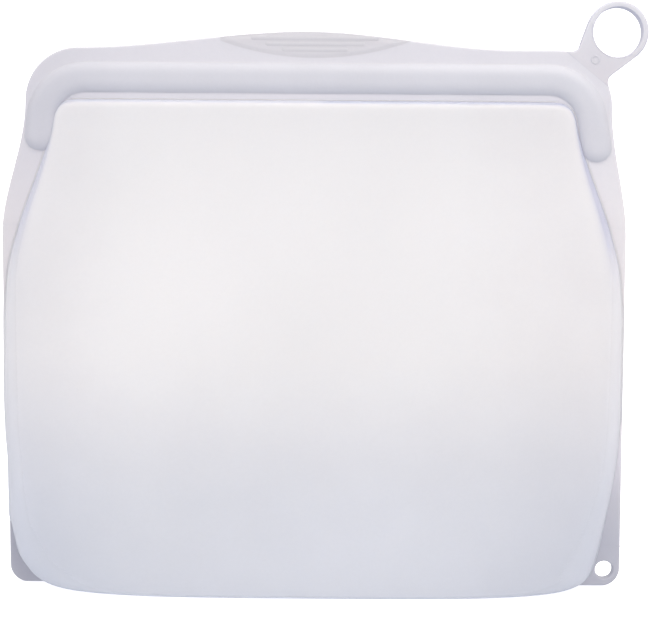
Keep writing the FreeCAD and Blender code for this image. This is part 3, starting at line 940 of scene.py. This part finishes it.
def make_world():
    """Soft studio surroundings: warm white above, cooler and dimmer below."""
    world = bpy.data.worlds.new("studio")
    world.use_nodes = True
    bpy.context.scene.world = world
    tree = world.node_tree
    back = tree.nodes["Background"]
    place = tree.nodes.new("ShaderNodeTexCoord")
    axes = tree.nodes.new("ShaderNodeSeparateXYZ")
    tree.links.new(place.outputs["Generated"], axes.inputs[0])
    share = tree.nodes.new("ShaderNodeMapRange")
    share.inputs["From Min"].default_value = -1.0
    share.inputs["From Max"].default_value = 1.0
    tree.links.new(axes.outputs["Z"], share.inputs["Value"])
    ramp = tree.nodes.new("ShaderNodeValToRGB")
    stops = ramp.color_ramp.elements
    stops[0].position, stops[0].color = 0.25, (0.70, 0.73, 0.81, 1.0)
    stops[1].position, stops[1].color = 0.75, (1.0, 0.97, 0.95, 1.0)
    tree.links.new(share.outputs["Result"], ramp.inputs["Fac"])
    tree.links.new(ramp.outputs["Color"], back.inputs["Color"])
    back.inputs["Strength"].default_value = 1.0


CAMERA = {"place": (12.0, -430.0, 140.0), "pitch": 3.66, "yaw": 0.08, "roll": 0.42,
          "lens": 65.46, "shift": (-0.0259, -0.0526)}


def make_camera():
    data = bpy.data.cameras.new("camera")
    camera = bpy.data.objects.new("camera", data)
    bpy.context.scene.collection.objects.link(camera)
    pitch, yaw, roll = (math.radians(CAMERA[k]) for k in ("pitch", "yaw", "roll"))
    turn = Matrix.Rotation(yaw, 4, "Z") @ Matrix.Rotation(math.pi / 2 - pitch, 4, "X")
    turn = turn @ Matrix.Rotation(roll, 4, "Z")
    camera.matrix_world = Matrix.Translation(Vector(CAMERA["place"]) * MM) @ turn
    data.sensor_width = 36.0
    data.lens = CAMERA["lens"]
    data.shift_x, data.shift_y = CAMERA["shift"]
    data.clip_start, data.clip_end = 0.01, 50.0
    bpy.context.scene.camera = camera


# ---- assembly ----------------------------------------------------------------------------
def build():
    front, back = make_walls()
    channel, rib = make_seal()
    front_lip = make_lip("front_lip", CORNER_R, True)
    back_lip = make_lip("back_lip", BACK_CORNER_R, False)
    neck, ring, mark = make_neck(), make_ring(), make_mark()
    left = make_side("left_side_seam", -1, 0.0, HEM_START)
    right = make_side("right_side_seam", 1, TAB_TOP, HEM_START)
    tab = make_tab()
    foot = make_bottom_seam()
    pad, ridges = make_pad(), make_ridges()

    # Painted shade: the first tint darkens and cools surfaces turned from the front, the second darkens the
    # left side.
    steep_shade_tint, left_side_shade = (0.58, 0.62, 0.77), (0.90, 0.90, 0.915)
    # Painted shade by height: walls bluer and darker low down, bonded edges and tab much darker under the
    # belly, lips darker towards the seal.
    wall = silicone("frosted_wall", [(0.0, srgb(236, 238, 247)), (35.0, srgb(238, 239, 246)),
                                     (85.0, srgb(254, 250, 250)), (199.0, srgb(255, 251, 251))],
                    rough=0.46, clear=0.1, painted_steep_shade=steep_shade_tint, left=(0.87, 0.88, 0.90), right=(0.905, 0.905, 0.915))
    edge = silicone("bonded_edge", [(0.0, srgb(192, 192, 201)), (18.0, srgb(194, 194, 203)),
                                    (30.0, srgb(205, 204, 211)), (46.0, srgb(226, 223, 229)),
                                    (62.0, srgb(236, 232, 234)), (80.0, srgb(240, 235, 234)),
                                    (125.0, srgb(234, 230, 231))], scatter=0.3, scale=0.0012, left=left_side_shade)
    lip = silicone("lip", [(134.0, srgb(234, 230, 231)), (150.0, srgb(230, 227, 230)),
                           (172.0, srgb(223, 221, 226))], scatter=0.3, scale=0.0012, left=left_side_shade)
    seal = silicone("press_seal", [(160.0, srgb(216, 215, 221)), (199.0, srgb(214, 214, 220))],
                    rough=0.44, scatter=0.3, scale=0.0012, left=left_side_shade)
    grip = silicone("thumb_grip", [(188.0, srgb(219, 216, 220)), (199.0, srgb(218, 215, 219))],
                    rough=0.5, scatter=0.3, scale=0.0012)
    loop = silicone("ring", [(182.0, srgb(219, 215, 220)), (195.0, srgb(219, 217, 222)),
                             (212.0, srgb(222, 221, 226))],
                    rough=0.44, scatter=0.3, scale=0.0012, painted_steep_shade=(0.86, 0.87, 0.94))
    for piece, material, slot in (
            (front, wall, "frosted_wall"), (back, wall, "frosted_wall"), (left, edge, "bonded_edge"),
            (right, edge, "bonded_edge"), (foot, edge, "bonded_edge"), (tab, edge, "bonded_edge"),
            (front_lip, lip, "lip"), (back_lip, lip, "lip"), (channel, seal, "press_seal"),
            (rib, seal, "press_seal"), (pad, grip, "thumb_grip"),
            (neck, loop, "ring"), (ring, loop, "ring"), (mark, loop, "ring")):
        paint(piece, material)
    for ridge, node in zip(ridges, RIDGES):
        paint(ridge, grip)
        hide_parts(node)
    for piece in (front, back, front_lip, back_lip, left, right, tab, foot, channel, rib, pad, neck):
        sharpen(piece, 50)

    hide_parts("front_panel", "front_throat")
    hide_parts("back_panel", "back_throat")
    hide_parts("ring_neck")
    for piece, node in ((left, "left_side_seam"), (right, "right_side_seam"), (tab, "hanging_tab"),
                        (foot, "bottom_seam"), (front_lip, "front_lip"), (back_lip, "back_lip"),
                        (channel, "seal_channel"), (rib, "seal_rib"), (pad, "thumb_pad"),
                        (neck, "ring_neck"), (ring, "hang_ring")):
        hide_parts(node)
    for piece in (left, right, tab, foot):
        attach(piece, "pouch")
    for piece in [channel, pad] + ridges:
        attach(piece, "front_flap")
    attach(rib, "back_flap")
    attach(ring, "ring_arm")
    for piece, flap in ((front, "front_flap"), (front_lip, "front_flap"),
                        (back, "back_flap"), (back_lip, "back_flap")):
        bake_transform(piece)
    for piece in (neck, mark):
        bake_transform(piece)


build()
make_sweep()
make_world()
add_light("key", (0.5, -0.9, 1.0), (0.0, 0.0, 0.12), 0.6, 4.8, (1.0, 0.98, 0.96))
add_light("fill", (-0.9, -0.9, 0.4), (0.0, 0.0, 0.1), 0.9, 1.6, (0.94, 0.96, 1.0))
add_light("top", (0.1, 0.1, 0.9), (0.0, 0.0, 0.1), 0.7, 2.2, (1.0, 0.99, 0.98))
make_camera()
bpy.context.scene.view_settings.view_transform = "Standard"

low, high = cad_box
